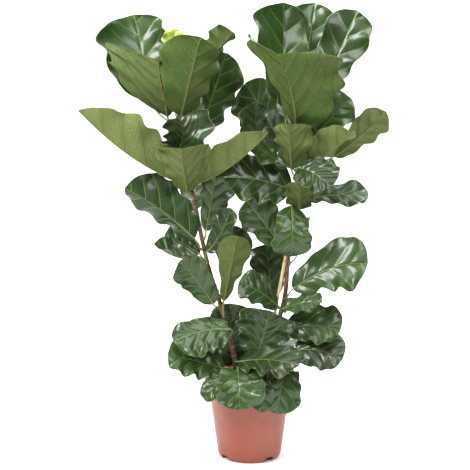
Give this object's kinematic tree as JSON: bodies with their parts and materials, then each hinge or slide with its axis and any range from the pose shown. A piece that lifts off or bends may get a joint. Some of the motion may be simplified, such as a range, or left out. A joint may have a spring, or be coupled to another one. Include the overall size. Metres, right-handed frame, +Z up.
{
  "type": "potted fiddle leaf fig",
  "caption": "Tall potted fiddle leaf fig: slender trunks with large leathery fiddle-shaped leaves, a bamboo cane and a round nursery pot, to stand on a floor as a living plant.",
  "frame": {"origin": "centre of the flat underside of the pot, on the floor plane", "axes": "+Z up the plant, -Y towards the plant's front, +X to the right seen from the front"},
  "size_m": [0.7757, 0.3669, 1.1656],
  "materials": {
    "pot": "satin terracotta-coloured moulded plastic",
    "soil": "dark crumbly potting soil with bark and fibres",
    "bark": "reddish-brown young bark with leaf scars",
    "cane": "dry bamboo",
    "leaf": "glossy dark green above with pale veins, matt olive green below",
    "young_leaf": "glossy yellow-green new leaf"
  },
  "bodies": {
    "root": {"pot": "pot", "soil": "soil", "trunk_left": "bark", "trunk_right": "bark", "bamboo_cane": "cane", "leaf_left_crown_young": "young_leaf", "leaf_left_crown_small_right": "leaf", "leaf_left_crown_back": "leaf", "leaf_left_crown_front_right": "leaf", "leaf_left_crown_front_left": "leaf", "leaf_left_crown_right": "leaf", "leaf_left_crown_rear": "leaf", "leaf_left_crown_inner": "leaf", "leaf_left_wing_right": "leaf", "leaf_left_wing_left": "leaf", "leaf_left_wing_front": "leaf", "leaf_left_mid_rear": "leaf", "leaf_left_upper_right": "leaf", "leaf_left_upper_left": "leaf", "leaf_left_mid_left": "leaf", "leaf_left_mid_left_back": "leaf", "leaf_left_mid_right": "leaf", "leaf_left_low_centre_back": "leaf", "leaf_left_low_left": "leaf", "leaf_left_low_centre": "leaf", "leaf_left_foot_left_upper": "leaf", "leaf_left_foot_centre": "leaf", "leaf_left_foot_left_lower": "leaf", "leaf_left_rim_front": "leaf", "leaf_left_rim_left": "leaf", "leaf_left_foot_back": "leaf", "leaf_right_crown_back_middle": "leaf", "leaf_right_crown_back_right": "leaf", "leaf_right_crown_back_left": "leaf", "leaf_right_crown_front": "leaf", "leaf_right_crown_rear": "leaf", "leaf_right_neck_left_dark": "leaf", "leaf_right_neck_right": "leaf", "leaf_right_neck_left_upright": "leaf", "leaf_right_neck_far_right": "leaf", "leaf_right_neck_left_flat": "leaf", "leaf_right_wing_right": "leaf", "leaf_right_wing_front": "leaf", "leaf_right_upper_crinkled": "leaf", "leaf_right_upper_left": "leaf", "leaf_right_upper_right": "leaf", "leaf_right_mid_hanging": "leaf", "leaf_right_upper_front": "leaf", "leaf_right_mid_left_low": "leaf", "leaf_right_mid_rear": "leaf", "leaf_right_mid_right_large": "leaf", "leaf_right_mid_left": "leaf", "leaf_right_low_left": "leaf", "leaf_right_low_right_small": "leaf", "leaf_right_foot_right_upper": "leaf", "leaf_right_foot_right_lower": "leaf", "leaf_right_foot_rear": "leaf", "leaf_right_rim_right": "leaf", "leaf_right_foot_back": "leaf", "leaf_right_rim_middle": "leaf"}
  },
  "joints": []
}
